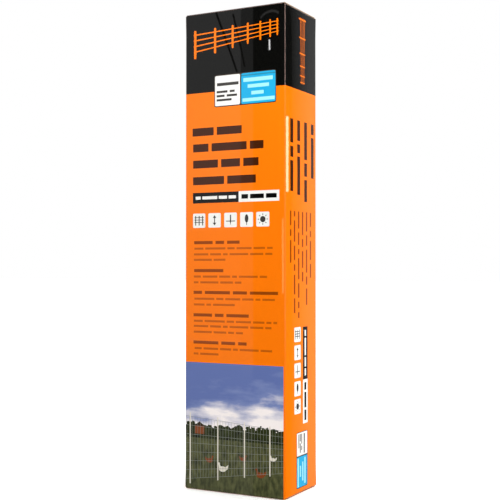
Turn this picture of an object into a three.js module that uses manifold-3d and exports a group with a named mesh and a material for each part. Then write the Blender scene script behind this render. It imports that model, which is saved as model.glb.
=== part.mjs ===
// A tall closed retail carton of single-wall corrugated board, packed with one bundle of poultry netting.
// It stands on its bottom flaps. Millimetres, +Z up, the origin is at the centre of the base,
// -Y is the wide front panel and +X is the narrow side panel.
import * as THREE from 'three';
import { mergeVertices } from 'three/addons/utils/BufferGeometryUtils.js';
import Module from 'manifold-3d';

// Driving dimensions: the carton's outside size and its board
const width = 331;
const depth = 209;
const height = 1400;
const board = 3;
const creaseInside = 1;

// Driving dimensions: how the blank is cut and glued
const seamGap = 1.5;
const slotGap = 0.5;
const slotPast = 1;
const glueBite = 0.25;
const rawEdgeInset = 0.75;
const tabWidth = 35;
const tabTaper = 12;
const tabEndGap = 4;

// Driving dimensions: the netting bundle inside
const bundleSideGap = 6;
const bundleHeadroom = 12;
const bundleSeatGap = 0.3;
const bundleCorner = 62;

// Roundness: the number of straight steps in a quarter turn
const creaseSteps = 6;
const bundleSteps = 10;

// Worked out: the outer radius of a folded crease, and the length that all eight flaps are cut to
const crease = board + creaseInside;
const flap = (depth - seamGap) / 2;

// Worked out: half sizes, the edge of the inner flaps beside the slots, and where the slots begin
const halfWidth = width / 2;
const halfDepth = depth / 2;
const innerFlapEdge = halfDepth - crease - slotGap;
const innerTop = height - board - glueBite;
const slotRoot = innerTop - crease - slotPast;

// A cut runs this far past what it cuts
const past = 5;

const printedBoard = new THREE.MeshStandardMaterial({ color: 0xf6821e, roughness: 0.28, metalness: 0 });
const wovenNet = new THREE.MeshStandardMaterial({ color: 0xd9d8cf, roughness: 0.85, metalness: 0 });

const wasm = await Module();
wasm.setup();

// A three.js geometry as a manifold solid, and back again

function toSolid(geometry) {
  const bare = geometry.clone();
  bare.deleteAttribute('normal');
  bare.deleteAttribute('uv');
  const merged = mergeVertices(bare, 1e-4);
  return new wasm.Manifold(new wasm.Mesh({
    numProp: 3,
    vertProperties: new Float32Array(merged.attributes.position.array),
    triVerts: new Uint32Array(merged.index.array),
  }));
}

function toGeometry(solid) {
  const mesh = solid.getMesh();
  const geometry = new THREE.BufferGeometry();
  geometry.setAttribute('position', new THREE.BufferAttribute(mesh.vertProperties, 3));
  geometry.setIndex(new THREE.BufferAttribute(mesh.triVerts, 1));
  const faceted = geometry.toNonIndexed();
  faceted.computeVertexNormals();
  return faceted;
}

// Building blocks: a point, an arc of points, a box between two corners and a shape stretched along Z

const at = (x, y) => new THREE.Vector2(x, y);

function arc(x, y, radius, from, to, steps) {
  const points = [];
  for (let step = 0; step <= steps; step += 1) {
    const angle = from + (to - from) * (step / steps);
    points.push(at(x + radius * Math.cos(angle), y + radius * Math.sin(angle)));
  }
  return points;
}

function block(low, high) {
  const [x0, y0, z0] = low;
  const [x1, y1, z1] = high;
  const geometry = new THREE.BoxGeometry(x1 - x0, y1 - y0, z1 - z0);
  geometry.translate((x0 + x1) / 2, (y0 + y1) / 2, (z0 + z1) / 2);
  return toSolid(geometry);
}

function extrude(shape, from, to) {
  const geometry = new THREE.ExtrudeGeometry(shape, { depth: to - from, bevelEnabled: false, steps: 1 });
  geometry.translate(0, 0, from);
  return geometry;
}

const quarter = Math.PI / 2;

// The walls from above. Three corners are creases. At the back left one the glue tab's crease
// dips under the back panel, whose cut edge stops just short of the corner

function wallOutline() {
  const x = halfWidth - crease;
  const y = halfDepth - crease;
  const tabFace = halfDepth - board + glueBite;
  const meets = Math.acos((crease - glueBite) / crease);
  return [
    ...arc(x, -y, crease, -quarter, 0, creaseSteps),
    ...arc(x, y, crease, 0, quarter, creaseSteps),
    at(rawEdgeInset - halfWidth, halfDepth),
    at(rawEdgeInset - halfWidth, halfDepth - board),
    ...arc(-x, tabFace - crease, crease, quarter + meets, 2 * quarter, creaseSteps),
    ...arc(-x, -y, crease, 2 * quarter, 3 * quarter, creaseSteps),
  ];
}

// The room inside the walls, from above

function roomOutline() {
  const x = halfWidth - board;
  const y = halfDepth - board;
  const corner = (sx, sy, radius, from) => (
    arc(sx * (x - radius), sy * (y - radius), radius, from, from + quarter, creaseSteps)
  );
  return [
    ...corner(1, -1, creaseInside, -quarter),
    ...corner(1, 1, creaseInside, 0),
    ...corner(-1, 1, crease, quarter),
    ...corner(-1, -1, creaseInside, 2 * quarter),
  ];
}

// What is cut away outside one horizontal crease: across points from the carton's middle to the panel,
// reach is how far out the panel lies, top is the level of the flap and from and to are the cut's ends

function creaseCut(across, reach, top, turned, from, to) {
  const level = (z) => (turned ? height - z : z);
  const points = arc(reach - crease, top - crease, crease, 0, quarter, creaseSteps);
  points.unshift(at(reach + past, top - crease));
  points.push(at(reach + past, top + past));
  const shape = new THREE.Shape(points.map((point) => at(point.x, level(point.y))));
  const up = new THREE.Vector3(0, 0, 1);
  const along = new THREE.Vector3().crossVectors(across, up);
  const geometry = extrude(shape, from, to);
  return toSolid(geometry.applyMatrix4(new THREE.Matrix4().makeBasis(across, up, along)));
}

// Everything that shapes one end of the carton, cut from the box of walls:
// the outer creases, the slots at the corners and the seam between the two outer flaps

function endCuts(turned) {
  const cut = (low, high) => {
    const z = turned ? [height - high[2], height - low[2]] : [low[2], high[2]];
    return block([low[0], low[1], z[0]], [high[0], high[1], z[1]]);
  };
  const cuts = [];
  for (const side of [-1, 1]) {
    const toPanel = new THREE.Vector3(0, side, 0);
    const toSide = new THREE.Vector3(side, 0, 0);
    const slotMiddle = innerFlapEdge + slotGap / 2;
    const flapEnd = side * (halfWidth - crease);
    const beyond = side * (halfWidth + past);
    const slotInside = side * (halfWidth - board - slotGap);
    cuts.push(creaseCut(toPanel, halfDepth, height, turned, -halfWidth - past, halfWidth + past));
    cuts.push(creaseCut(toSide, halfWidth, innerTop, turned, -slotMiddle, slotMiddle));
    cuts.push(cut(
      [Math.min(flapEnd, beyond), -halfDepth - past, innerTop],
      [Math.max(flapEnd, beyond), halfDepth + past, height + past],
    ));
    for (const end of [-1, 1]) {
      const edge = end * innerFlapEdge;
      const post = end * (innerFlapEdge + slotGap);
      cuts.push(cut(
        [Math.min(slotInside, beyond), Math.min(edge, post), slotRoot],
        [Math.max(slotInside, beyond), Math.max(edge, post), height - board / 2],
      ));
    }
  }
  cuts.push(cut([-halfWidth - past, -seamGap / 2, innerTop], [halfWidth + past, seamGap / 2, height + past]));
  return cuts;
}

// The two inner flaps of one end, which are left standing when the room is cut

function innerFlaps(turned) {
  const low = turned ? -past : height - 2 * board;
  const high = turned ? 2 * board : height + past;
  return [
    block([halfWidth - flap, -innerFlapEdge, low], [halfWidth + past, innerFlapEdge, high]),
    block([-halfWidth - past, -innerFlapEdge, low], [flap - halfWidth, innerFlapEdge, high]),
  ];
}

// The glue tab inside the back panel, with both ends cut at a slant

function glueTab() {
  const bottom = height - slotRoot + tabEndGap;
  const top = slotRoot - tabEndGap;
  const root = -halfWidth + board / 2;
  const tip = -halfWidth + board + tabWidth;
  const outside = halfDepth - board + glueBite;
  const shape = new THREE.Shape([
    at(root, bottom),
    at(tip, bottom + tabTaper),
    at(tip, top - tabTaper),
    at(root, top),
  ]);
  const geometry = extrude(shape, -outside, board - outside);
  geometry.applyMatrix4(new THREE.Matrix4().makeBasis(
    new THREE.Vector3(1, 0, 0),
    new THREE.Vector3(0, 0, 1),
    new THREE.Vector3(0, -1, 0),
  ));
  return toSolid(geometry);
}

function carton() {
  const walls = toSolid(extrude(new THREE.Shape(wallOutline()), 0, height));
  let room = toSolid(extrude(new THREE.Shape(roomOutline()), board, height - board));
  for (const inner of [...innerFlaps(false), ...innerFlaps(true)]) {
    room = room.subtract(inner);
  }
  let blank = walls.subtract(room);
  for (const cut of [...endCuts(false), ...endCuts(true)]) {
    blank = blank.subtract(cut);
  }
  const mesh = new THREE.Mesh(toGeometry(blank.add(glueTab())), printedBoard);
  mesh.name = 'carton';
  return mesh;
}

// The folded net and its posts, one plain bundle that stands on the inner bottom flaps

function nettingBundle() {
  const x = halfWidth - board - bundleSideGap;
  const y = halfDepth - 2 * board - bundleSideGap;
  const radius = Math.min(bundleCorner, y - 1, x - 1);
  const corner = (sx, sy, from) => (
    arc(sx * (x - radius), sy * (y - radius), radius, from, from + quarter, bundleSteps)
  );
  const shape = new THREE.Shape([
    ...corner(1, -1, -quarter),
    ...corner(1, 1, 0),
    ...corner(-1, 1, quarter),
    ...corner(-1, -1, 2 * quarter),
  ]);
  const seat = 2 * board + bundleSeatGap;
  const top = height - 2 * board - bundleHeadroom;
  const mesh = new THREE.Mesh(extrude(shape, seat, top), wovenNet);
  mesh.name = 'netting_bundle';
  return mesh;
}

const group = new THREE.Group();
group.add(carton());
group.add(nettingBundle());

export default group;
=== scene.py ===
# %% [markdown]
# # A tall retail carton
# The object is a closed carton of corrugated board, packed with a bundle of poultry netting.
# A printed sheet is glued to the board and covered with a glossy film.
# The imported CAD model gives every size, and this script gives the surface: the print, the gloss,
# the folds and the raw cut edges of the board.

# %% Load the frame
import math
import bpy
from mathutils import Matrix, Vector
from mathutils.geometry import delaunay_2d_cdt


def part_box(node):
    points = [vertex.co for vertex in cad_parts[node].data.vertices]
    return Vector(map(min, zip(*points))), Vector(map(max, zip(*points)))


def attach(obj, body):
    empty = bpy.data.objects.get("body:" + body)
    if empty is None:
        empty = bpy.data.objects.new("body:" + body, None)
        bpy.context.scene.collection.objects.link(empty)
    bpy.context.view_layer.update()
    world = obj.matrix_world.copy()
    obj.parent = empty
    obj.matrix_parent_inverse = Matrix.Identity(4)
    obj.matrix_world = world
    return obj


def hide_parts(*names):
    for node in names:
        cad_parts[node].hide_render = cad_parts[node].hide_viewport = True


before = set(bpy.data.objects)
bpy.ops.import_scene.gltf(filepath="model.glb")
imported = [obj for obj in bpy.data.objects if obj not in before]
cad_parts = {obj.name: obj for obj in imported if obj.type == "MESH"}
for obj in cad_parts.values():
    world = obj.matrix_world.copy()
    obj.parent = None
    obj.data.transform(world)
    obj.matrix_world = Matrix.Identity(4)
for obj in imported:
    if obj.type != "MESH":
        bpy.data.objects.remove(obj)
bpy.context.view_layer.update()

# %% [markdown]
# ## Camera
# The place and the lens were found from the six corners of the carton in the photograph.
# The lens isn't shifted, so the same camera also works from other sides.

# %% Camera
camera_place = Vector((1.3998, -2.6107, 0.6509))
camera_turn = (90.999, 0.0, 28.261)
lens_mm = 71.68
sensor_mm = 36

camera_data = bpy.data.cameras.new("camera")
camera_data.lens = lens_mm
camera_data.sensor_width = sensor_mm
camera = bpy.data.objects.new("camera", camera_data)
camera.location = camera_place
camera.rotation_euler = [math.radians(angle) for angle in camera_turn]
bpy.context.collection.objects.link(camera)
bpy.context.scene.camera = camera
print("camera to carton:", round(camera_place.length, 3), "m")

# %% [markdown]
# ## Helpers for colour and shader nodes
# Print colours are picked as sRGB hex values, and Blender's shaders work in linear light,
# so one function turns one into the other. Another adds a shader node with its settings and links.

# %% Colour and node helpers
def linear(colour):
    channels = [int(colour[place:place + 2], 16) / 255 for place in (1, 3, 5)]
    return [c / 12.92 if c <= 0.04045 else ((c + 0.055) / 1.055) ** 2.4 for c in channels] + [1.0]


def add(tree, kind, sockets=None, **settings):
    node = tree.nodes.new(kind)
    for name, value in settings.items():
        setattr(node, name, value)
    for name, value in (sockets or {}).items():
        if isinstance(value, bpy.types.NodeSocket):
            tree.links.new(value, node.inputs[name])
        else:
            node.inputs[name].default_value = value
    return node


def new_material(name):
    material = bpy.data.materials.new(name)
    material.use_nodes = True
    material.node_tree.nodes.clear()
    return material, material.node_tree


print("orange in linear light:", [round(c, 3) for c in linear("#EF7307")])

# %% [markdown]
# ## Sizes of the carton
# These are the CAD model's own sizes, in millimetres. The board is 3 mm thick, and each fold
# is rounded to a radius of 4 mm outside. The panels of a packed carton swell a little, so
# each panel falls away towards its folds. It leans most at the fold, by the bow angle, and the lean
# fades over the bow length. Close to the ends the flaps hold the panel flat.

# %% Sizes
width, depth, height = 331.0, 209.0, 1400.0
board = 3.0
crease = 4.0
half_width, half_depth = width / 2, depth / 2
seam_gap = 1.5
inner_level = height - board - 0.25
inner_edge = half_depth - crease - 0.5
raw_edge_inset = 0.75
arc_length = crease * math.pi / 2
arc_steps = 6
bow_angle = math.radians(3.2)
bow_length = 11.0
bow_start = 70.0

low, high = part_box("carton")
print("carton from CAD, mm:", [round(1000 * (b - a), 1) for a, b in zip(low, high)])

# %% [markdown]
# ## How a panel swells
# The bow is an exponential curve: steep at the fold and flat a few centimetres away from it.
# Working it out as a formula gives the exact slope too, which the gloss needs.

# %% Bow of a panel
def ease(value):
    value = min(max(value, 0.0), 1.0)
    return value * value * (3 - 2 * value)


def bow(distance):
    return math.tan(bow_angle) * bow_length * math.exp(-distance / bow_length)


def slope(distance):
    return math.tan(bow_angle) * math.exp(-distance / bow_length)


def fold_at(z):
    # How much of the bow there is at this level, the panel's lean at its fold and the fold's depth
    near_end = min(z, height - z)
    share = ease((near_end - crease) / bow_start)
    return share, math.atan(slope(0) * share), bow(0) * share


print("a panel falls by", round(bow(0), 2), "mm to its fold, whose arc is", round(arc_length, 2), "mm long")

# %% [markdown]
# ## A panel as a surface
# A flat plane would look too perfect under a glossy film. Each panel is described by a function that gives,
# for each place on the flat sheet, the point in space and the way that the surface faces there.
# The reflections then run on smoothly from one piece to the next across the rounded folds.

# %% Panel surfaces
# A panel's frame: the middle of the panel, the way its print reads, the way it faces and its half width
panel_frames = {
    "front": ((0, -half_depth), (1, 0), (0, -1), half_width),
    "right": ((half_width, 0), (0, 1), (1, 0), half_depth),
    "back": ((0, half_depth), (-1, 0), (0, 1), half_width),
    "left": ((-half_width, 0), (0, -1), (-1, 0), half_depth),
}
far_away = 1e6


def panel_surface(side, folded, end_level):
    middle, along, out, half = panel_frames[side]
    flat_half = half - crease

    def position(u, back, z):
        return Vector((
            middle[0] + along[0] * u - out[0] * back,
            middle[1] + along[1] * u - out[1] * back,
            z,
        ))

    def direction(face):
        return Vector((
            along[0] * face[0] + out[0] * face[1],
            along[1] * face[0] + out[1] * face[1],
            face[2],
        ))

    def end_fold(u, turn, end):
        angle = min(turn, math.pi / 2)
        level = end_level - crease + crease * math.sin(angle)
        z = level if end > 0 else height - level
        back = crease * (1 - math.cos(angle))
        return position(u, back, z), direction((0.0, math.cos(angle), end * math.sin(angle)))

    def side_fold(beyond, sign, z):
        _, angle, deep = fold_at(z)
        swing = angle + (math.pi / 2 - 2 * angle) * beyond / arc_length
        centre_u = flat_half - deep
        centre_back = crease + deep
        u = sign * (centre_u + crease * math.sin(swing))
        back = centre_back - crease * math.cos(swing)
        return position(u, back, z), direction((sign * math.sin(swing), math.cos(swing), 0.0))

    def swollen_face(u, sign, folds, z):
        share, angle, deep = fold_at(z)
        reach = flat_half - deep + crease * math.sin(angle)
        spot = u * reach / flat_half if folds else u
        distance = (reach - abs(spot)) if folds else far_away
        start = crease + deep - crease * math.cos(angle)
        fall = start * math.exp(-distance / bow_length) if share > 0 else 0.0
        tilt = math.tan(angle) * math.exp(-distance / bow_length) * sign
        return position(spot, fall, z), direction(Vector((tilt, 1.0, 0.0)).normalized())

    def place(u, v):
        # u runs along the print and v up the panel, both in mm from the panel's middle and base
        if v < height - end_level + crease:
            return end_fold(u, (height - end_level + crease - v) / crease, -1)
        if v > end_level - crease:
            return end_fold(u, (v - end_level + crease) / crease, 1)
        sign = 1 if u > 0 else -1
        folds = folded[1] if u > 0 else folded[0]
        beyond = abs(u) - flat_half
        if beyond > 0 and folds:
            return side_fold(beyond, sign, v)
        return swollen_face(u, sign, folds, v)

    return place


test_point, test_way = panel_surface("front", (True, True), height)(half_width - crease, height / 2)
print("where the front's fold begins:", [round(c, 2) for c in test_point], "facing", test_way)

# %% [markdown]
# ## Print as geometry
# The script uses no pictures, so the print is cut into the panel's own surface. Every printed shape is a
# polygon in millimetres on the flat sheet. A constrained Delaunay triangulation cuts
# the sheet along all the outlines and along a grid, and each small face takes the ink of the
# topmost shape over it. The edges of the print stay sharp at any zoom.

# %% Bars, discs and strokes
def bar(ink, x0, x1, y0, y1, radius=0.0, steps=4):
    if radius <= 0:
        return ink, [(x0, y0), (x1, y0), (x1, y1), (x0, y1)]
    points = []
    corners = [(x1 - radius, y1 - radius, 0), (x0 + radius, y1 - radius, 90),
               (x0 + radius, y0 + radius, 180), (x1 - radius, y0 + radius, 270)]
    for cx, cy, start in corners:
        for step in range(steps + 1):
            angle = math.radians(start + 90 / steps * step)
            points.append((cx + radius * math.cos(angle), cy + radius * math.sin(angle)))
    return ink, points


def disc(ink, cx, cy, rx, ry=None, steps=14):
    ry = ry or rx
    turns = [2 * math.pi * step / steps for step in range(steps)]
    return ink, [(cx + rx * math.cos(turn), cy + ry * math.sin(turn)) for turn in turns]


def stroke(ink, x0, y0, x1, y1, thick):
    along_line = Vector((x1 - x0, y1 - y0)).normalized() * (thick / 2)
    side = Vector((-along_line.y, along_line.x))
    return ink, [(x0 + side.x, y0 + side.y), (x1 + side.x, y1 + side.y),
                 (x1 - side.x, y1 - side.y), (x0 - side.x, y0 - side.y)]


print("points of a rounded bar:", len(bar("white_ink", 0, 42, 0, 42, 4)[1]))

# %% [markdown]
# ## Lines of dummy text
# A designer's draft shows text as bars of the right length, height and colour, one for each word.
# A fixed rhythm of word lengths keeps the lines from looking alike, and gives the same print each time.

# %% Words and turned blocks
# Word lengths as shares of the line's height
word_rhythm = (7.0, 3.2, 9.4, 5.1, 11.3, 4.0, 8.2, 6.1, 2.6, 10.2)
shortest_word = 1.6
shortest_rest = 2.2


def words(ink, x0, x1, y0, y1, first=0, gap=1.1, scale=1.0, radius=0.0):
    tall = y1 - y0
    bars = []
    x = x0
    index = first
    while x1 - x > tall * shortest_word:
        long = word_rhythm[index % len(word_rhythm)] * tall * scale
        end = x + long
        if x1 - end < tall * shortest_rest:
            end = x1
        bars.append(bar(ink, x, end, y0, y1, radius))
        x = end + gap * tall
        index += 1
    return bars


def turned(shapes, right, top):
    # A block that reads downwards: x of the block runs down the panel and y runs to the left
    return [(ink, [(right - y, top + x) for x, y in points]) for ink, points in shapes]


print("words in one line:", len(words("body_ink", 32, 291, 679, 685)))

# %% [markdown]
# ## A frieze at the head of a panel
# A fence that runs away from the viewer gives the black head of the carton a strong orange shape.
# Perspective makes its posts lower, thinner and closer together with each step.

# %% Frieze
bunching = 0.6
post_thickness = 0.095
strand_thickness = 0.024
strand_levels = (0.16, 0.36, 0.56, 0.76)
strand_ends = (5, 4)


def frieze(x0, x1, tall_end, short_end, posts, ink="orange_ink"):
    # Each end is given as its top and bottom
    shapes = []
    tops = []
    for index in range(posts):
        share = index / (posts - 1)
        share = share * (1 + bunching - bunching * share)
        x = x0 + (x1 - x0) * share
        top = tall_end[0] + (short_end[0] - tall_end[0]) * share
        base = tall_end[1] + (short_end[1] - tall_end[1]) * share
        thick = post_thickness * (base - top)
        shapes.append(bar(ink, x - thick / 2, x + thick / 2, top, base, thick * 0.4))
        tops.append((x, top, base))
    (xa, top_a, base_a), (xb, top_b, base_b) = tops[0], tops[-1]
    xa, xb = xa - strand_ends[0], xb + strand_ends[1]
    for share in strand_levels:
        ya = top_a + share * (base_a - top_a)
        yb = top_b + share * (base_b - top_b)
        thick_a = strand_thickness * (base_a - top_a)
        thick_b = strand_thickness * (base_b - top_b)
        shapes.append((ink, [(xa, ya - thick_a), (xb, yb - thick_b), (xb, yb + thick_b), (xa, ya + thick_a)]))
    return shapes


print("shapes in the frieze:", len(frieze(34, 306, (50, 134), (44, 92), 7)))

# %% [markdown]
# ## Signs and the label
# A row of small white tiles carries plain signs: a fence, an arrow, a stake, a leaf and a sun.
# The label is a dark plate with a white field and a blue field, each with a few lines.

# %% Signs and label
sign_kinds = ("fence", "height", "stake", "leaf", "sun")


def pictogram(kind, x0, y0, size=42.0):
    # All offsets are millimetres from the middle of the sign
    ink = "grey_ink"
    shapes = [bar("white_ink", x0, x0 + size, y0, y0 + size, 4.0)]
    x, y = x0 + size / 2, y0 + size / 2
    if kind == "fence":
        for offset in (-12, 0, 12):
            shapes.append(bar(ink, x + offset - 1.6, x + offset + 1.6, y - 14, y + 14))
        for offset in (-9, -2, 5):
            shapes.append(bar(ink, x - 16, x + 16, y + offset - 1, y + offset + 1))
    elif kind == "height":
        shapes.append(bar(ink, x - 1.5, x + 1.5, y - 8, y + 8))
        shapes.append((ink, [(x - 6, y - 7), (x, y - 15), (x + 6, y - 7)]))
        shapes.append((ink, [(x - 6, y + 7), (x, y + 15), (x + 6, y + 7)]))
    elif kind == "stake":
        shapes.append(bar(ink, x - 2, x + 2, y - 15, y + 5))
        shapes.append((ink, [(x - 2, y + 5), (x + 2, y + 5), (x, y + 15)]))
        shapes.append(bar(ink, x - 15, x + 15, y + 2, y + 4.5))
    elif kind == "leaf":
        shapes.append(disc(ink, x, y - 3, 6, 12))
        shapes.append(bar(ink, x - 1, x + 1, y + 6, y + 16))
    else:
        shapes.append(disc(ink, x, y, 9))
        for index in range(8):
            angle = math.pi / 4 * index
            dx, dy = math.cos(angle), math.sin(angle)
            shapes.append(stroke(ink, x + dx * 12, y + dy * 12, x + dx * 16, y + dy * 16, 2.4))
    return shapes


# Lines on the label: top, end and first word on the white field, then top, height, start and end on the blue
white_lines = ((47, 84, 0), (59, 76, 3), (71, 58, 6))
blue_lines = ((15, 15, 97, 192), (34, 14, 111, 180), (54, 14, 123, 163), (73, 14, 94, 198))


def label(x0, y0):
    shapes = [bar("dark_ink", x0, x0 + 203, y0, y0 + 94, 6)]
    shapes.append(bar("white_ink", x0 + 2.5, x0 + 86, y0 + 3, y0 + 91, 4))
    shapes.append(bar("blue_ink", x0 + 90, x0 + 200.5, y0 + 2.5, y0 + 91, 4))
    shapes.append(bar("teal_ink", x0 + 90, x0 + 200.5, y0 + 7, y0 + 11))
    shapes += words("grey_ink", x0 + 9, x0 + 81, y0 + 24, y0 + 33, 2, scale=0.8)
    for top, end, first in white_lines:
        shapes += words("grey_ink", x0 + 8, x0 + end, y0 + top, y0 + top + 6.5, first, scale=0.8)
    for top, tall, start, end in blue_lines:
        shapes.append(bar("pale_blue_ink", x0 + start, x0 + end, y0 + top + 2, y0 + top + tall - 2, 1))
    return shapes


print("shapes on the label:", len(label(0, 0)))

# %% [markdown]
# ## Motifs of the printed picture
# The picture at the foot of a wide panel is a landscape. Its sky, trees and grass come from shader nodes,
# and what has a clear outline is drawn as shapes: a shed, a few hens and the net on its posts.

# %% Hens, shed and net
def hen(ink, x, y, size=1.0, way=1):
    # x, y is where the legs stand; way is 1 when the bird looks to the right and -1 when to the left
    def at(dx, dy):
        return x + way * dx * size, y + dy * size

    shapes = []
    for leg in (-2.5, 2.5):
        shapes.append(stroke("dark_ink", x + leg * size, y - 8 * size, x + leg * size, y, 1.3 * size))
    shapes.append(disc(ink, x, y - 14 * size, 13 * size, 8 * size))
    shapes.append((ink, [at(-9, -20), at(-19, -27), at(-17, -15), at(-10, -11)]))
    shapes.append((ink, [at(5, -19), at(10, -29), at(14, -27), at(12, -14)]))
    shapes.append(disc(ink, *at(12.5, -29), 3.6 * size))
    shapes.append(("rust_ink", [at(15.5, -30), at(19, -28.5), at(15.5, -27.5)]))
    return shapes


# Ink, place of the legs, size and way of each hen
hens = (
    ("rust_ink", 84, 1322, 0.8, 1), ("cream_ink", 128, 1346, 1.0, -1), ("rust_ink", 196, 1308, 0.7, 1),
    ("rust_ink", 252, 1352, 1.0, -1), ("cream_ink", 292, 1300, 0.65, -1),
)
# Place, top and foot of each post of the net
net_posts = ((18, 1176, 1384), (112, 1184, 1366), (200, 1192, 1350), (282, 1198, 1338))
net_uprights = 34
net_strands = 8


def picture_motifs():
    shapes = [bar("rust_ink", 34, 66, 1212, 1236)]
    shapes.append(("dark_ink", [(31, 1213), (50, 1200), (69, 1213)]))
    for bird in hens:
        shapes += hen(*bird)
    # The net gets lower towards the right
    for index in range(net_uprights):
        share = index / (net_uprights - 1)
        x = 6 + 312 * share
        shapes.append(stroke("net_ink", x, 1186 + 22 * share, x, 1372 - 46 * share, 0.7))
    for strand in range(net_strands):
        share = strand / (net_strands - 1)
        shapes.append(stroke("net_ink", 0, 1186 + 186 * share, 324, 1208 + 118 * share, 0.9))
    for x, top, base in net_posts:
        shapes.append(bar("cream_ink", x - 1.7, x + 1.7, top, base))
    return shapes


print("shapes in the picture:", len(picture_motifs()))

# %% [markdown]
# ## The layout of the wide panel
# Places are millimetres from the top left corner of the panel, as on a printer's sheet.
# Later shapes lie over earlier ones. Where the print bleeds, it runs on past the panel's edge.

# %% Wide panel layout
band_end = 236.0
bleed = 200.0
# Start, end and top of each line of the title
title_lines = ((25, 191, 333), (27, 262, 380), (27, 246, 428), (27, 237, 477))
# Start, end, top and height of each line of text
heading_tall = 9
text_lines = (
    (31, 184, 672, 9), (32, 291, 691, 6), (30, 290, 708, 6), (30, 137, 724, 6),
    (31, 130, 754, 9), (30, 273, 773, 6), (30, 190, 790, 6),
    (29, 308, 818, 9), (32, 298, 838, 6), (30, 168, 855, 6),
    (29, 214, 884, 9), (30, 305, 903, 6), (30, 287, 918, 6), (30, 195, 935, 6),
    (29, 207, 964, 9), (33, 289, 983, 6), (30, 114, 999, 6),
)
wide_sign_row = 591
wide_signs = (27, 79.5, 133, 186, 238.5)
picture_edge, picture_top = 324.5, 1027.5


def wide_panel_print():
    shapes = [bar("orange_ink", -bleed, width + bleed, band_end, height + bleed)]
    shapes += frieze(34, 306, (50, 134), (44, 92), 7)
    for index, (x0, x1, y0) in enumerate(title_lines):
        shapes += words("title_ink", x0, x1, y0 + 6.5, y0 + 30, index * 3, gap=0.45, scale=0.44, radius=1.5)
    shapes += label(99.5, 188)
    shapes.append(bar("black_ink", 26.5, 181, 530, 561))
    shapes.append(bar("white_ink", 181, 312, 530, 561))
    shapes += words("white_ink", 36, 172, 541, 550, 1, gap=0.6, scale=0.6, radius=1)
    shapes += words("black_ink", 190, 304, 539, 552, 5, gap=0.5, scale=0.42, radius=1)
    for kind, x in zip(sign_kinds, wide_signs):
        shapes += pictogram(kind, x, wide_sign_row)
    for index, (x0, x1, y0, tall) in enumerate(text_lines):
        ink = "heading_ink" if tall == heading_tall else "body_ink"
        shapes += words(ink, x0, x1, y0, y0 + tall, index * 3)
    shapes.append(bar("printed_picture", -bleed, picture_edge, picture_top, height + bleed))
    shapes += picture_motifs()
    return shapes


wide_print = wide_panel_print()
print("printed shapes on a wide panel:", len(wide_print))

# %% [markdown]
# ## The layout of the narrow panel
# The same lines are set turned by a quarter, reading downwards.

# %% Narrow panel layout
# Length and right edge of each line of the title and of the text
narrow_title = ((161, 198), (233, 151), (215, 104), (207, 58))
narrow_text = ((192, 173), (271, 146), (202, 118.5), (307, 92), (292, 64.5), (148, 39))
narrow_signs = (921, 972.5, 1024, 1076, 1127)
small_label = 0.79


def narrow_panel_print():
    shapes = [bar("orange_ink", -bleed, depth + bleed, band_end, height + bleed)]
    shapes += turned(frieze(6, 190, (0, 48), (8, 38), 6), 136, 22)
    for index, (long, right) in enumerate(narrow_title):
        line = words("title_ink", 0, long, 7.5, 27, index * 3 + 1, gap=0.5, scale=0.5, radius=1.5)
        shapes += turned(line, right, 325)
    for index, (long, right) in enumerate(narrow_text):
        shapes += turned(words("heading_ink", 0, long, 1, 11, index * 2, scale=0.6), right, 588)
    for kind, y in zip(sign_kinds, narrow_signs):
        shapes += pictogram(kind, 57, y)
    shapes.append(bar("black_ink", 114.5, 146, 921.5, 1074.5))
    shapes.append(bar("white_ink", 114.5, 146, 1074.5, 1201.5))
    shapes += turned(words("white_ink", 10, 142, 11, 20, 1, gap=0.6, scale=0.6, radius=1), 146, 921.5)
    shapes += turned(words("black_ink", 162, 272, 9, 22, 5, gap=0.5, scale=0.42, radius=1), 146, 921.5)
    small = [(ink, [(x * small_label, y * small_label) for x, y in points]) for ink, points in label(0, 0)]
    shapes += turned(small, 145, 1223)
    return shapes


narrow_print = narrow_panel_print()
print("printed shapes on a narrow panel:", len(narrow_print))

# %% [markdown]
# ## Cutting the sheet
# Blender's delaunay_2d_cdt takes points and edges on a plane and returns faces that respect every edge.
# The outline, the grid lines and the printed shapes all go in as edges. A face belongs to a shape
# when its middle lies inside the shape's outline.

# %% Sheet cutter
weld_distance = 1e-4


def inside(point, points):
    x, y = point
    hit = False
    previous = points[-1]
    for current in points:
        if (current[1] > y) != (previous[1] > y):
            share = (y - previous[1]) / (current[1] - previous[1])
            if x < previous[0] + share * (current[0] - previous[0]):
                hit = not hit
        previous = current
    return hit


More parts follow.
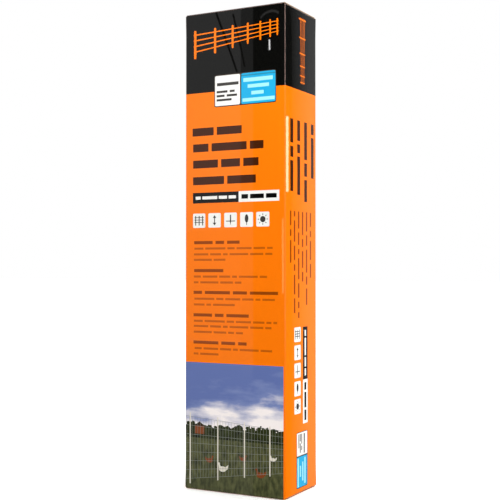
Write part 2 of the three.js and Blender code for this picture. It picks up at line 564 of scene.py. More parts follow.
def cut_sheet(outline, u_lines, v_lines, shapes):
    points, edges = [], []

    def ring(ring_points):
        first = len(points)
        points.extend(Vector(point) for point in ring_points)
        for step in range(len(ring_points)):
            edges.append((first + step, first + (step + 1) % len(ring_points)))

    def segment(start, end):
        edges.append((len(points), len(points) + 1))
        points.extend((Vector(start), Vector(end)))

    us = [point[0] for point in outline]
    vs = [point[1] for point in outline]
    ring(outline)
    for u in u_lines:
        segment((u, min(vs)), (u, max(vs)))
    for v in v_lines:
        segment((min(us), v), (max(us), v))
    boxes = []
    for ink, shape in shapes:
        xs = [min(max(point[0], min(us)), max(us)) for point in shape]
        ys = [min(max(point[1], min(vs)), max(vs)) for point in shape]
        ring(list(zip(xs, ys)))
        boxes.append((ink, shape, min(xs), max(xs), min(ys), max(ys)))
    boxes.reverse()
    cut_points, _, faces, _, _, _ = delaunay_2d_cdt(points, edges, [], 0, weld_distance, False)
    kept, face_inks = [], []
    for face in faces:
        middle = sum((cut_points[index] for index in face), Vector((0, 0))) / len(face)
        if not inside(middle, outline):
            continue
        kept.append(face)
        face_inks.append("black_ink")
        for ink, shape, x0, x1, y0, y1 in boxes:
            if x0 <= middle.x <= x1 and y0 <= middle.y <= y1 and inside(middle, shape):
                face_inks[-1] = ink
                break
    return cut_points, kept, face_inks


test_faces = cut_sheet([(0, 0), (9, 0), (9, 9), (0, 9)], [], [], [bar("white_ink", 2, 4, 2, 4)])[1]
print("a square with one printed bar is cut into", len(test_faces), "faces")

# %% [markdown]
# ## From sheet to board
# The cut sheet is laid on a panel's surface and given the thickness of the board: a copy 3 mm behind it
# is the inner liner, and a strip round the rim is the raw edge. Normals given one by one keep the print side
# smooth. One UV map holds the print's place in metres. The other spreads the outside over
# nearly a whole picture, with narrow columns for the liner and the edge.

# %% Board maker
inks = (
    "black_ink", "orange_ink", "white_ink", "grey_ink", "blue_ink", "teal_ink", "pale_blue_ink", "dark_ink",
    "rust_ink", "cream_ink", "net_ink", "title_ink", "heading_ink", "body_ink", "printed_picture",
    "inner_liner", "raw_edge",
)
# Start and width of each column of the exported picture, and the start and height of them all
print_column, liner_column, edge_column = (0.005, 0.91), (0.925, 0.03), (0.965, 0.03)
column_height = (0.005, 0.99)


def within(span, share):
    return span[0] + span[1] * share


def finish_board(mesh, flat, faces, rim, normals, outline, wear_and_highlight_at):
    count = len(flat)
    low_u = min(point[0] for point in outline)
    long_u = max(point[0] for point in outline) - low_u
    low_v = min(point[1] for point in outline)
    long_v = max(point[1] for point in outline) - low_v
    print_map = mesh.uv_layers.new(name="print_mm")
    bake_map = mesh.uv_layers.new(name="OFBake")
    loop_normals = []
    rim_first = 2 * len(faces)
    perimeter = sum((flat[start] - flat[end]).length for start, end in rim)
    walked = 0.0
    for polygon in mesh.polygons:
        if polygon.index >= rim_first:
            start, end = rim[polygon.index - rim_first]
            long = (flat[start] - flat[end]).length
            for loop in polygon.loop_indices:
                vertex = mesh.loops[loop].vertex_index
                spot = walked + (long if vertex % count == end else 0.0)
                thick = 1.0 if vertex >= count else 0.0
                print_map.data[loop].uv = (spot / 1000, thick)
                bake_map.data[loop].uv = (within(edge_column, thick), within(column_height, spot / perimeter))
                loop_normals.append(tuple(polygon.normal))
            walked += long
            continue
        hidden = polygon.index >= len(faces)
        column = liner_column if hidden else print_column
        for loop in polygon.loop_indices:
            vertex = mesh.loops[loop].vertex_index
            point = flat[vertex % count]
            u = (point.x - low_u) / long_u
            v = 1 - (point.y - low_v) / long_v
            print_map.data[loop].uv = (point.x / 1000, point.y / 1000)
            bake_map.data[loop].uv = (within(column, u), within(column_height, v))
            way = normals[vertex % count]
            loop_normals.append(tuple(-way if hidden else way))
    mesh.normals_split_custom_set(loop_normals)
    # How much rubbed paper and painted fold highlight each point shows
    rub_and_highlight_amount = mesh.attributes.new("fold_wear_and_highlight", "FLOAT", "POINT")
    for index in range(2 * count):
        point = flat[index % count]
        rub_and_highlight_amount.data[index].value = wear_and_highlight_at(point.x, point.y)
    mesh.validate()


def board_piece(name, outline, u_lines, v_lines, shapes, place, wear_and_highlight_at):
    flat, faces, face_inks = cut_sheet(outline, u_lines, v_lines, shapes)
    used = sorted({index for face in faces for index in face})
    order = {old: new for new, old in enumerate(used)}
    faces = [[order[index] for index in face] for face in faces]
    flat = [flat[index] for index in used]
    count = len(flat)
    outer, normals = [], []
    for point in flat:
        spot, face_way = place(point.x, point.y)
        outer.append(spot)
        normals.append(face_way)
    inner = [spot - board * way for spot, way in zip(outer, normals)]
    # The rim is every edge that only one face uses
    edges = {}
    for face in faces:
        for step, start in enumerate(face):
            edges[(start, face[(step + 1) % len(face)])] = True
    rim = [pair for pair in edges if (pair[1], pair[0]) not in edges]
    sides = [list(face) for face in faces]
    sides += [[index + count for index in reversed(face)] for face in faces]
    sides += [[end, start, start + count, end + count] for start, end in rim]
    a, b, c = (outer[index] for index in faces[0][:3])
    if (b - a).cross(c - a).dot(normals[faces[0][0]]) < 0:
        sides = [list(reversed(face)) for face in sides]
    mesh = bpy.data.meshes.new(name)
    mesh.from_pydata([tuple(spot / 1000) for spot in outer + inner], [], sides)
    slots = []
    for ink in face_inks + ["inner_liner"] * len(faces) + ["raw_edge"] * len(rim):
        slots.append(inks.index(ink))
    mesh.polygons.foreach_set("material_index", slots)
    finish_board(mesh, flat, faces, rim, normals, outline, wear_and_highlight_at)
    piece = bpy.data.objects.new(name, mesh)
    bpy.context.collection.objects.link(piece)
    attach(piece, "root")
    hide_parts("carton")
    return piece


print(len(inks), "finishes on the board")

# %% [markdown]
# ## The four panels
# The front and back panels carry the rounded folds at their sides. The back panel's left end is the raw
# edge of the sheet: it lies over the glue tab and stops just short of the corner.
# The grid is fine near the folds, where the surface curves, and wide in the middle.

# %% Panels
fold_grid = (0.0, 1.5, 3.0, 5.0, 8.0, 12.0, 17.0, 23.0, 31.0, 42.0, 58.0)
height_grid = (4.0, 12.0, 20.0, 28.0, 36.0, 46.0, 58.0, 70.0, 78.0)
level_step = 200
# How far in mm the rubbed paper and painted fold highlight reach from a fold
wear_and_highlight_reach = 5


def panel_grid(half, folded):
    flat_half = half - crease
    lines = [0.0, -flat_half * 0.5, flat_half * 0.5]
    for sign, folds in ((-1, folded[0]), (1, folded[1])):
        lines += [sign * (flat_half - distance) for distance in fold_grid]
        if folds:
            lines += [sign * (flat_half + arc_length * step / arc_steps) for step in range(1, arc_steps + 1)]
    return lines


def panel(name, side, print_shapes, folded, carries_folds, end_level):
    half = panel_frames[side][3]
    surface = panel_surface(side, folded, end_level)
    flat_half = half - crease
    level_gap = height - end_level
    top = level_gap - (arc_length - crease)
    bottom = height - top
    notch = level_gap + crease
    reach = []
    for folds, carries in zip(folded, carries_folds):
        beside = flat_half + (arc_length if carries else 0.0)
        reach.append(beside if folds else half - raw_edge_inset)
    left, right = reach
    outline = [
        (-flat_half, top), (flat_half, top), (flat_half, notch), (right, notch),
        (right, height - notch), (flat_half, height - notch), (flat_half, bottom), (-flat_half, bottom),
        (-flat_half, height - notch), (-left, height - notch), (-left, notch), (-flat_half, notch),
    ]
    v_lines = [top + arc_length * step / arc_steps for step in range(arc_steps + 1)]
    v_lines += [bottom - arc_length * step / arc_steps for step in range(arc_steps + 1)]
    v_lines += [level_gap + line for line in height_grid] + [bottom - line for line in height_grid]
    v_lines += list(range(level_step, int(height), level_step))
    shapes = [(ink, [(x - half, y) for x, y in points]) for ink, points in print_shapes]

    def place(u, v):
        return surface(u, height - v)

    # Painted fold highlight mixed with rubbed paper: full on the fold's middle line, gone at the reach
    def wear_and_highlight_at(u, v):
        near_side = abs(abs(u) - flat_half - arc_length / 2)
        near_end = min(abs(v - level_gap - crease / 2), abs(height - v - level_gap - crease / 2))
        return max(0.0, 1 - min(near_side, near_end) / wear_and_highlight_reach)

    return board_piece(name, outline, panel_grid(half, folded), v_lines, shapes, place, wear_and_highlight_at)


panels = [
    panel("front_panel", "front", wide_print, (True, True), (True, True), height),
    panel("right_panel", "right", narrow_print, (True, True), (False, False), inner_level),
    panel("back_panel", "back", wide_print, (True, False), (True, False), height),
    panel("left_panel", "left", narrow_print, (True, True), (False, False), inner_level),
]
for piece in panels:
    print(piece.name, len(piece.data.polygons), "faces", [round(d, 4) for d in piece.dimensions])

# %% [markdown]
# ## Flaps
# Two outer flaps meet at a seam over two inner flaps, at the top and at the bottom. The outer flaps
# carry on from the front and back panels. Their ends are raw cut board.
# A few grid lines near the edges keep the line of rubbed paper and painted highlight thin, because it fades
# from line to line.

# %% Flaps
edge_steps = (1.25, 2.5, 5.0)


def flap_place(side, level, top_end):
    middle, along, out, _ = panel_frames[side]

    def place(u, v):
        return Vector((
            middle[0] + along[0] * u - out[0] * (crease + v),
            middle[1] + along[1] * u - out[1] * (crease + v),
            level if top_end else height - level,
        )), Vector((0, 0, 1 if top_end else -1))

    return place


def flap(name, side, top_end, ink):
    outer_flap = side in ("front", "back")
    level = height if outer_flap else inner_level
    reach = half_width - crease if outer_flap else inner_edge
    long = half_depth - crease - seam_gap / 2 if outer_flap else (depth - seam_gap) / 2 - crease
    outline = [(-reach, 0.0), (reach, 0.0), (reach, long), (-reach, long)]
    shapes = [bar(ink, -reach - 1, reach + 1, -1, long + 1)]
    u_lines = [0.0] + [sign * (reach - step) for sign in (-1, 1) for step in edge_steps]
    v_lines = [long / 2] + list(edge_steps) + [long - step for step in edge_steps]

    # Painted highlight mixed with rubbed paper, along the flap's edges
    def wear_and_highlight_at(u, v):
        return max(0.0, 1 - min(v, long - v, reach - abs(u)) / wear_and_highlight_reach)

    place = flap_place(side, level, top_end)
    return board_piece(name, outline, u_lines, v_lines, shapes, place, wear_and_highlight_at)


flaps = []
for end_name, top_end, ink in (("top", True, "black_ink"), ("bottom", False, "orange_ink")):
    for side in ("front", "back", "right", "left"):
        flaps.append(flap(f"{end_name}_{side}_flap", side, top_end, ink))
print(len(flaps), "flaps")

# %% [markdown]
# ## Printed inks
# The outside is offset print on coated paper under a glossy film. The inks are matt dyes under a clear coat,
# so all the shine comes from the coat, whose IOR of 1.5 is that of the plastic film. Along the folds and
# edges a pale brownish colour is painted in. Part of it is paper showing where the ink is rubbed, and part is
# a painted highlight of the rounded fold. A fine noise breaks the line up. Noise at 22 per metre makes
# the film's slow ripple, and finer noise the mottle of the ink and the tooth of the paper.

# %% Printed inks
ink_colours = {
    "black_ink": "#070706",
    "orange_ink": "#EF7307",
    "white_ink": "#E4E3DF",
    "grey_ink": "#3A3836",
    "blue_ink": "#229FCE",
    "teal_ink": "#2A7F9C",
    "pale_blue_ink": "#98DCEA",
    "dark_ink": "#33291F",
    "rust_ink": "#7A4022",
    "cream_ink": "#D8D2C4",
    "net_ink": "#7C7F78",
    "title_ink": "#3E1C08",
    "heading_ink": "#8A3F06",
    "body_ink": "#B4560A",
}
# Colour at folds and edges: rubbed paper together with a painted highlight of the rounded fold
rub_and_highlight_colour = "#9C7D74"
# The black ink shows the rubbed paper and the painted fold highlight sooner than the others
rub_and_highlight_from = {"black_ink": 0.41}
rub_and_highlight_else = 0.66
rub_and_highlight_soft = 0.1


def glossy_print(name, colour=None):
    material, tree = new_material(name)
    place_map = add(tree, "ShaderNodeUVMap", uv_map="print_mm")
    spot = place_map.outputs["UV"]
    mottle = add(tree, "ShaderNodeTexNoise", {"Vector": spot, "Scale": 160.0, "Detail": 3.0})
    strength = add(tree, "ShaderNodeMapRange", {
        "Value": mottle.outputs["Fac"], "To Min": 0.97, "To Max": 1.03,
    })
    ink = add(tree, "ShaderNodeVectorMath", {
        0: picture_colour(tree, spot) if colour is None else linear(colour)[:3],
        "Scale": strength.outputs["Result"],
    }, operation="SCALE")
    # Rubbed paper and a painted fold highlight, mixed over the ink near folds and edges
    rub_and_highlight_amount = add(tree, "ShaderNodeAttribute", attribute_name="fold_wear_and_highlight")
    rub = add(tree, "ShaderNodeTexNoise", {"Vector": spot, "Scale": 420.0, "Detail": 4.0})
    rub_and_highlight_mask = add(tree, "ShaderNodeMath", {
        0: rub_and_highlight_amount.outputs["Fac"], 1: rub.outputs["Fac"],
    }, operation="MULTIPLY")
    rub_and_highlight_start = rub_and_highlight_from.get(name, rub_and_highlight_else)
    rub_and_highlight_share = add(tree, "ShaderNodeMapRange", {
        "Value": rub_and_highlight_mask.outputs["Value"], "From Min": rub_and_highlight_start, "From Max": rub_and_highlight_start + rub_and_highlight_soft,
    })
    mix = add(tree, "ShaderNodeMix", {
        "Factor": rub_and_highlight_share.outputs["Result"], 6: ink.outputs["Vector"], 7: linear(rub_and_highlight_colour),
    }, data_type="RGBA")
    ripple = add(tree, "ShaderNodeTexNoise", {"Vector": spot, "Scale": 22.0, "Detail": 2.0})
    bump = add(tree, "ShaderNodeBump", {
        "Height": ripple.outputs["Fac"], "Strength": 0.003, "Distance": 0.002,
    })
    rough = add(tree, "ShaderNodeMapRange", {"Value": rub.outputs["Fac"], "To Min": 0.42, "To Max": 0.58})
    shader = add(tree, "ShaderNodeBsdfPrincipled", {
        "Base Color": mix.outputs[2],
        "Roughness": rough.outputs["Result"],
        "Specular IOR Level": 0.0,
        "Coat Weight": 1.0,
        "Coat Roughness": 0.015,
        "Coat IOR": 1.5,
        "Coat Normal": bump.outputs["Normal"],
    })
    add(tree, "ShaderNodeOutputMaterial", {"Surface": shader.outputs["BSDF"]})
    return material


print(len(ink_colours), "inks")

# %% [markdown]
# ## The printed picture
# The landscape is drawn by nodes from the print's own coordinates: a sky with clouds, a line of trees
# and a meadow. Clouds are noise stretched sideways. More of it turns white the lower
# and the farther to the right it lies, which is what the lean adds.

# %% Picture nodes
sky_blue, sky_haze, cloud_white = "#5C6CA2", "#7280AE", "#EDE6E4"
haze_at = 0.42
tree_dark, tree_light = "#191E0E", "#363C20"
grass_dark, grass_light = "#2E3220", "#5C5E3C"
# Metres from the top of the panel
tree_tops, meadow_top = 1.232, 1.248


def cloudy_sky(tree, spot, across, down):
    wide = add(tree, "ShaderNodeMapping", {"Vector": spot, "Scale": (1.0, 3.0, 1.0)})
    puffs = add(tree, "ShaderNodeTexNoise", {"Vector": wide.outputs["Vector"], "Scale": 9.0, "Detail": 6.0})
    steep = add(tree, "ShaderNodeMath", {0: down, 1: 1.6}, operation="MULTIPLY")
    lean = add(tree, "ShaderNodeMath", {
        0: across, 1: 0.36, 2: steep.outputs["Value"],
    }, operation="MULTIPLY_ADD")
    lift = add(tree, "ShaderNodeMath", {
        0: puffs.outputs["Fac"], 1: 0.4, 2: lean.outputs["Value"],
    }, operation="MULTIPLY_ADD")
    cloud = add(tree, "ShaderNodeMapRange", {
        "Value": lift.outputs["Value"], "From Min": 1.94, "From Max": 2.12,
    })
    sky = add(tree, "ShaderNodeValToRGB", {"Fac": cloud.outputs["Result"]})
    sky.color_ramp.elements[0].color = linear(sky_blue)
    sky.color_ramp.elements[1].color = linear(cloud_white)
    sky.color_ramp.elements.new(haze_at).color = linear(sky_haze)
    return sky.outputs["Color"]


def picture_colour(tree, spot):
    parts = add(tree, "ShaderNodeSeparateXYZ", {"Vector": spot})
    down = parts.outputs["Y"]
    sky = cloudy_sky(tree, spot, parts.outputs["X"], down)
    leaves = add(tree, "ShaderNodeTexNoise", {"Vector": spot, "Scale": 60.0, "Detail": 6.0})
    shade = add(tree, "ShaderNodeMapRange", {
        "Value": leaves.outputs["Fac"], "From Min": 0.3, "From Max": 0.7,
    })
    green = add(tree, "ShaderNodeValToRGB", {"Fac": shade.outputs["Result"]})
    green.color_ramp.elements[0].color = linear(tree_dark)
    green.color_ramp.elements[1].color = linear(tree_light)
    crowns = add(tree, "ShaderNodeTexNoise", {"Vector": spot, "Scale": 38.0, "Detail": 2.0})
    crown = add(tree, "ShaderNodeMath", {
        0: crowns.outputs["Fac"], 1: -0.05, 2: tree_tops,
    }, operation="MULTIPLY_ADD")
    below = add(tree, "ShaderNodeMath", {0: down, 1: crown.outputs["Value"]}, operation="GREATER_THAN")
    grass_map = add(tree, "ShaderNodeMapping", {"Vector": spot, "Scale": (1.0, 0.4, 1.0)})
    blades = add(tree, "ShaderNodeTexNoise", {
        "Vector": grass_map.outputs["Vector"], "Scale": 90.0, "Detail": 5.0,
    })
    grass = add(tree, "ShaderNodeValToRGB", {"Fac": blades.outputs["Fac"]})
    grass.color_ramp.elements[0].position = 0.3
    grass.color_ramp.elements[0].color = linear(grass_dark)
    grass.color_ramp.elements[1].position = 0.7
    grass.color_ramp.elements[1].color = linear(grass_light)
    meadow = add(tree, "ShaderNodeMath", {0: down, 1: meadow_top}, operation="GREATER_THAN")
    with_trees = add(tree, "ShaderNodeMix", {
        "Factor": below.outputs["Value"], 6: sky, 7: green.outputs["Color"],
    }, data_type="RGBA")
    with_grass = add(tree, "ShaderNodeMix", {
        "Factor": meadow.outputs["Value"], 6: with_trees.outputs[2], 7: grass.outputs["Color"],
    }, data_type="RGBA")
    return with_grass.outputs[2]


finishes = {name: glossy_print(name, colour) for name, colour in ink_colours.items()}
finishes["printed_picture"] = glossy_print("printed_picture")
print("nodes in the picture's material:", len(finishes["printed_picture"].node_tree.nodes))

# %% [markdown]
# ## Bare board
# Inside, the board is brown kraft liner, with fibres that run one way. A cut edge shows
# the wavy middle layer between the two liners. Its waves are 6.5 mm long, as in a 3 mm B flute,
# and a sine of the distance along the edge draws them.

# %% Liner and raw edge
flute_metres = 0.0065


def kraft_liner(name):
    material, tree = new_material(name)
    place_map = add(tree, "ShaderNodeUVMap", uv_map="print_mm")
    long_way = add(tree, "ShaderNodeMapping", {"Vector": place_map.outputs["UV"], "Scale": (1.0, 0.15, 1.0)})
    fibres = add(tree, "ShaderNodeTexNoise", {
        "Vector": long_way.outputs["Vector"], "Scale": 900.0, "Detail": 5.0,
    })
    ramp = add(tree, "ShaderNodeValToRGB", {"Fac": fibres.outputs["Fac"]})
    ramp.color_ramp.elements[0].position = 0.3
    ramp.color_ramp.elements[0].color = linear("#A57C50")
    ramp.color_ramp.elements[1].position = 0.7
    ramp.color_ramp.elements[1].color = linear("#C39A6B")
    bump = add(tree, "ShaderNodeBump", {
        "Height": fibres.outputs["Fac"], "Strength": 0.25, "Distance": 0.0003,
    })
    shader = add(tree, "ShaderNodeBsdfPrincipled", {
        "Base Color": ramp.outputs["Color"], "Roughness": 0.85, "Normal": bump.outputs["Normal"],
    })
    add(tree, "ShaderNodeOutputMaterial", {"Surface": shader.outputs["BSDF"]})
    return material


def cut_board_edge(name):
    material, tree = new_material(name)
    place_map = add(tree, "ShaderNodeUVMap", uv_map="print_mm")
    spot = add(tree, "ShaderNodeSeparateXYZ", {"Vector": place_map.outputs["UV"]})
    turn = add(tree, "ShaderNodeMath", {
        0: spot.outputs["X"], 1: 2 * math.pi / flute_metres,
    }, operation="MULTIPLY")
    wave = add(tree, "ShaderNodeMath", {0: turn.outputs["Value"]}, operation="SINE")
    middle = add(tree, "ShaderNodeMath", {
        0: wave.outputs["Value"], 1: 0.3, 2: 0.5,
    }, operation="MULTIPLY_ADD")
    gap = add(tree, "ShaderNodeMath", {
        0: spot.outputs["Y"], 1: middle.outputs["Value"],
    }, operation="SUBTRACT")
    away = add(tree, "ShaderNodeMath", {0: gap.outputs["Value"]}, operation="ABSOLUTE")
    medium = add(tree, "ShaderNodeMapRange", {
        "Value": away.outputs["Value"], "From Min": 0.14, "From Max": 0.08,
    })
    centre = add(tree, "ShaderNodeMath", {0: spot.outputs["Y"], 1: 0.5}, operation="SUBTRACT")
    off_centre = add(tree, "ShaderNodeMath", {0: centre.outputs["Value"]}, operation="ABSOLUTE")
    liners = add(tree, "ShaderNodeMapRange", {
        "Value": off_centre.outputs["Value"], "From Min": 0.36, "From Max": 0.4,
    })
    paper = add(tree, "ShaderNodeMath", {
        0: medium.outputs["Result"], 1: liners.outputs["Result"],
    }, operation="MAXIMUM")
    colour = add(tree, "ShaderNodeMix", {
        "Factor": paper.outputs["Value"], 6: linear("#4A3320"), 7: linear("#C9A377"),
    }, data_type="RGBA")
    shader = add(tree, "ShaderNodeBsdfPrincipled", {"Base Color": colour.outputs[2], "Roughness": 0.9})
    add(tree, "ShaderNodeOutputMaterial", {"Surface": shader.outputs["BSDF"]})
    return material


finishes["inner_liner"] = kraft_liner("inner_liner")
finishes["raw_edge"] = cut_board_edge("raw_edge")
for piece in panels + flaps:
    for ink in inks:
        piece.data.materials.append(finishes[ink])
print(len(finishes), "materials on the carton")

# %% [markdown]
# ## The netting inside
# The bundle isn't seen while the carton is closed, but it is part of the object. It keeps its CAD shape
# and gets a woven look: white twisted twine with fine dark strands.

# %% Netting bundle
def twine_net(name):
    material, tree = new_material(name)
    place = add(tree, "ShaderNodeTexCoord")
    weave = add(tree, "ShaderNodeTexWave", {
        "Vector": place.outputs["Object"], "Scale": 40.0, "Distortion": 3.0, "Detail": 3.0,
    }, bands_direction="DIAGONAL")
    ramp = add(tree, "ShaderNodeValToRGB", {"Fac": weave.outputs["Fac"]})
    ramp.color_ramp.elements[0].color = linear("#55544E")
    ramp.color_ramp.elements[1].color = linear("#DEDCD2")
    bump = add(tree, "ShaderNodeBump", {
        "Height": weave.outputs["Fac"], "Strength": 0.6, "Distance": 0.003,
    })
    shader = add(tree, "ShaderNodeBsdfPrincipled", {
        "Base Color": ramp.outputs["Color"], "Roughness": 0.8, "Normal": bump.outputs["Normal"],
    })
    add(tree, "ShaderNodeOutputMaterial", {"Surface": shader.outputs["BSDF"]})
    return material


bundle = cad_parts["netting_bundle"]
bundle.data.materials.clear()
bundle.data.materials.append(twine_net("twine_net"))
print("bundle:", [round(size, 3) for size in bundle.dimensions], "m")

# %% [markdown]
# ## Floor and light
# The floor is pale and gives off a little light of its own, so that the shade at the carton's foot stays
# faint. A wide light from above and a dim sky do most of the lighting, and two soft boxes even out
# the brightness of the print. The camera sees a white sky, and the lamps themselves are never seen.

# %% Floor and light
def stage_plane(name, corners, material):
    mesh = bpy.data.meshes.new(name)
    mesh.from_pydata([tuple(corner) for corner in corners], [], [list(range(len(corners)))])
    mesh.materials.append(material)
    piece = bpy.data.objects.new(name, mesh)
    bpy.context.collection.objects.link(piece)
    return piece


def pale_floor():
    material, tree = new_material("pale_floor")
    shader = add(tree, "ShaderNodeBsdfPrincipled", {
        "Base Color": linear("#F4F4F2"), "Roughness": 0.9, "Specular IOR Level": 0.1,
        "Emission Color": linear("#FFFFFF"), "Emission Strength": 0.25,
    })
    add(tree, "ShaderNodeOutputMaterial", {"Surface": shader.outputs["BSDF"]})
    return material


floor_level = -0.0012
floor_reach = 40.0
floor_corners = [
    (sx * floor_reach, sy * floor_reach, floor_level) for sx, sy in ((-1, -1), (1, -1), (1, 1), (-1, 1))
]
floor = stage_plane("floor", floor_corners, pale_floor())

sky_level = 0.2
world = bpy.data.worlds.new("studio")
bpy.context.scene.world = world
world.use_nodes = True
world.node_tree.nodes.clear()
ray = add(world.node_tree, "ShaderNodeLightPath")
seen = add(world.node_tree, "ShaderNodeMapRange", {
    "Value": ray.outputs["Is Camera Ray"], "To Min": sky_level, "To Max": 1.0,
})
sky_light = add(world.node_tree, "ShaderNodeBackground", {
    "Color": (1.0, 1.0, 1.0, 1.0), "Strength": seen.outputs["Result"],
})
add(world.node_tree, "ShaderNodeOutputWorld", {"Surface": sky_light.outputs["Background"]})


def aim(lamp, place, target):
    lamp.location = place
    lamp.rotation_euler = (Vector(target) - Vector(place)).to_track_quat("-Z", "Y").to_euler()
    lamp.visible_camera = False
    lamp.visible_glossy = False
    bpy.context.collection.objects.link(lamp)
    return lamp


def soft_box(name, place, target, size, watts):
    data = bpy.data.lights.new(name, "AREA")
    data.shape = "SQUARE"
    data.size = size
    data.energy = watts
    return aim(bpy.data.objects.new(name, data), place, target)


def ceiling_light(name, strength, spread):
    data = bpy.data.lights.new(name, "SUN")
    data.energy = strength
    data.angle = math.radians(spread)
    return aim(bpy.data.objects.new(name, data), (0, 0, 4), (0, 0, 0))


lamps = [
    ceiling_light("ceiling_light", 2.8, 110),
    soft_box("key_box", (0.5, -0.8, 1.6), (0.1, -0.1, 1.2), 0.5, 7.0),
    soft_box("side_box", (1.3, 1.5, 0.8), (0.16, 0.05, 0.5), 1.2, 34.0),
]
print(len(lamps), "lamps over a floor of", 2 * floor_reach, "m")

# %% [markdown]
# ## Cards for the gloss
# What a glossy film shows is what stands opposite it. So plain cards that only reflections see stand where
# a studio's walls, flags, stands and lamps would be. Mirror geometry gives a card's place:
# the camera is mirrored in the panel's plane, and a line from that image through a spot on the panel
# ends on the card. The share says how far away the card stands, and a nearer card hides a farther one.

# %% Mirror geometry
def glow(name, strength, tint="#FFFFFF"):
    material, tree = new_material(name)
    light = add(tree, "ShaderNodeEmission", {"Color": linear(tint), "Strength": strength})
    add(tree, "ShaderNodeOutputMaterial", {"Surface": light.outputs["Emission"]})
    return material


def reflection_card(name, corners, material):
    card = stage_plane(name, corners, material)
    for ray in ("camera", "diffuse", "transmission", "volume_scatter", "shadow"):
        setattr(card, f"visible_{ray}", False)
    return card


def panel_spot(side, x, y):
    # A place on a panel, in mm from its top left corner
    middle, along, _, half = panel_frames[side]
    return Vector((middle[0] + along[0] * (x - half), middle[1] + along[1] * (x - half), height - y)) / 1000


def mirror_spot(side, x, y, share=1.0):
    # Where a card stands for the camera to see it at x, y of a panel
    spot = panel_spot(side, x, y)
    out = Vector((*panel_frames[side][2], 0.0))
    image = camera_place - 2 * (camera_place - spot).dot(out) * out
    return spot + (spot - image) * share


print("seen in the middle of the front:", [round(c, 2) for c in mirror_spot("front", half_width, height / 2)])

# %% [markdown]
# ## The room
# A box of 10 m stands for the studio. Its floor is darker than its walls, as a floor
# that no lamp is turned to is.

# %% Room
room_low = Vector((-5.0, -5.0, -0.0006))
room_high = Vector((5.0, 5.0, 5.0))
studio_wall = glow("studio_wall", 0.53)
studio_ground = glow("studio_ground", 0.22)


def room_side(name, axis, end, material):
    # One side of the box: its corners have the same place along one axis
    ends = (room_low, room_high)
    first, second = [other for other in range(3) if other != axis]
    corners = []
    for first_end, second_end in ((0, 0), (1, 0), (1, 1), (0, 1)):
        corner = Vector((0, 0, 0))
        corner[axis] = ends[end][axis]
        corner[first] = ends[first_end][first]
        corner[second] = ends[second_end][second]
        corners.append(corner)
    return reflection_card(name, corners, material)


room = [
    room_side("room_ground", 2, 0, studio_ground),
    room_side("room_ceiling", 2, 1, studio_wall),
    room_side("room_front", 1, 0, studio_wall),
    room_side("room_back", 1, 1, studio_wall),
    room_side("room_left", 0, 0, studio_wall),
    room_side("room_right", 0, 1, studio_wall),
]
print(len(room), "sides of the room")

# %% [markdown]
# ## What the wide panel shows
# On the left the film shows the pale wall, and the legs of a light stand in front of it.
# A grey screen and a black flag darken the right part, with one small lamp and the rim of an umbrella.

# %% Cards in front
flag_cloth = glow("flag_cloth", 0.02)
lamp_face = glow("lamp_face", 18.0)
umbrella_rim = glow("umbrella_rim", 0.5)
screen_base = 1150
screen_level = -0.0004


def front_card(name, points, material, share=0.99):
    return reflection_card(name, [mirror_spot("front", x, y, share) for x, y in points], material)


def screen(name, side, x0, x1, top, material, share=1.0):
    # An upright screen and its foot on the ground, seen from x0 to x1 of a panel
    places = ((x0, screen_base), (x1, screen_base), (x1, top), (x0, top))
    corners = [mirror_spot(side, x, y, share) for x, y in places]
    near = [panel_spot(side, x, height) for x in (x0, x1)]
    for corner in corners[:2] + near:
        corner.z = screen_level
    reflection_card(name, corners, material)
    reflection_card(f"{name}_foot", [near[0], corners[0], corners[1], near[1]], material)


front_card("wall_foot", [(-900, 640), (188, 640), (188, 960), (-900, 960)], glow("wall_foot", 0.33), 1.02)
screen("dark_flag", "front", 228, 900, -60, flag_cloth)
screen("grey_screen", "front", 188, 228, -60, glow("grey_screen", 0.25), 1.01)
front_card("small_lamp", [(281, 103), (286, 103), (286, 132), (281, 132)], lamp_face, 0.98)

# Left, right and level of each leg's upper end and lower end
stand_legs = (
    ((102, 109, 5), (143, 150, 108)),
    ((143, 150, 108), (173, 179, 186)),
    ((159, 165, 15), (187, 193, 124)),
    ((187, 193, 124), (198, 203, 172)),
)
for index, ((xa, xb, ya), (xc, xd, yc)) in enumerate(stand_legs):
    front_card(f"stand_leg_{index + 1}", [(xa, ya), (xb, ya), (xd, yc), (xc, yc)], flag_cloth)

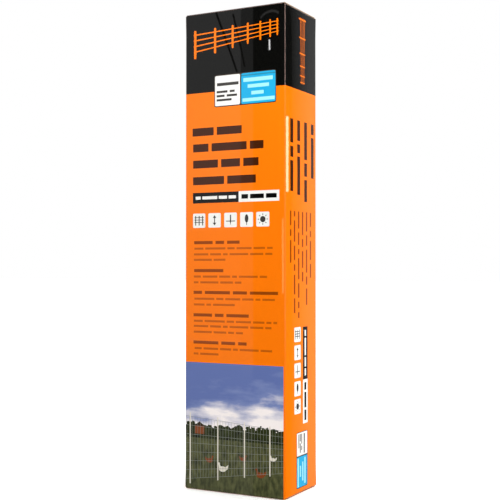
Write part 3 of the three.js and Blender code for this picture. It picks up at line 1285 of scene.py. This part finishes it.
rim_points = ((252, 34), (262, 25), (274, 20), (288, 18), (302, 20), (322, 28))
rim_thick = 7
for index in range(len(rim_points) - 1):
    (xa, ya), (xb, yb) = rim_points[index], rim_points[index + 1]
    rim_part = [(xa, ya), (xb, yb), (xb, yb + rim_thick), (xa, ya + rim_thick)]
    front_card(f"umbrella_rim_{index}", rim_part, umbrella_rim)
print(len(stand_legs), "legs of a stand and", len(rim_points) - 1, "parts of the umbrella's rim")

# %% [markdown]
# ## What the narrow panel and the folds show
# The narrow panel shows a dark flag near the fold and grows lighter away from it, in eight steps.
# Where a panel curves towards its fold, it shows what stands at another angle. A card
# turned about the fold by a few degrees is seen there alone: as the pale strip on the narrow panel
# and as the thin light line on the wide one.

# %% Cards at the side
first_shade, shade_width, shade_steps = 30, 20, 8
side_top = -100
shade_dark, shade_gain = 0.07, 0.3

screen("dark_side_flag", "right", -600, first_shade, side_top, flag_cloth)
for step in range(shade_steps):
    start = first_shade + shade_width * step
    end = 900 if step == shade_steps - 1 else start + shade_width
    strength = shade_dark + shade_gain * ease((start - 10) / 170)
    shade_name = f"side_shade_{step}"
    screen(shade_name, "right", start, end, side_top, glow(shade_name, strength))


def fold_card(name, side, x, turns, levels, share, material):
    # Turns are degrees about the upright line at x of a panel, and levels are the card's ends
    places = ((turns[0], levels[0]), (turns[1], levels[0]), (turns[1], levels[1]), (turns[0], levels[1]))
    corners = []
    for turn, y in places:
        spot = panel_spot(side, x, y)
        away = mirror_spot(side, x, y, share) - spot
        angle = math.radians(turn)
        corners.append((
            spot.x + away.x * math.cos(angle) - away.y * math.sin(angle),
            spot.y + away.x * math.sin(angle) + away.y * math.cos(angle),
            spot.z + away.z,
        ))
    return reflection_card(name, corners, material)


strip_lamp = glow("strip_lamp", 6.0, "#FFFBE0")
fold_glow = glow("fold_card", 3.4, "#FFE0A0")
fold_card("strip_lamp", "right", 12, (-1.5, -6.3), (323, 536), 0.75, strip_lamp)
fold_card("fold_card", "front", 325, (3.2, 5.8), (612, 822), 0.88, fold_glow)
print(shade_steps, "shades beside the dark flag")

# %% [markdown]
# ## View and finish
# The standard view keeps the printed colours as they are.

# %% Finish
bpy.context.scene.view_settings.view_transform = "Standard"
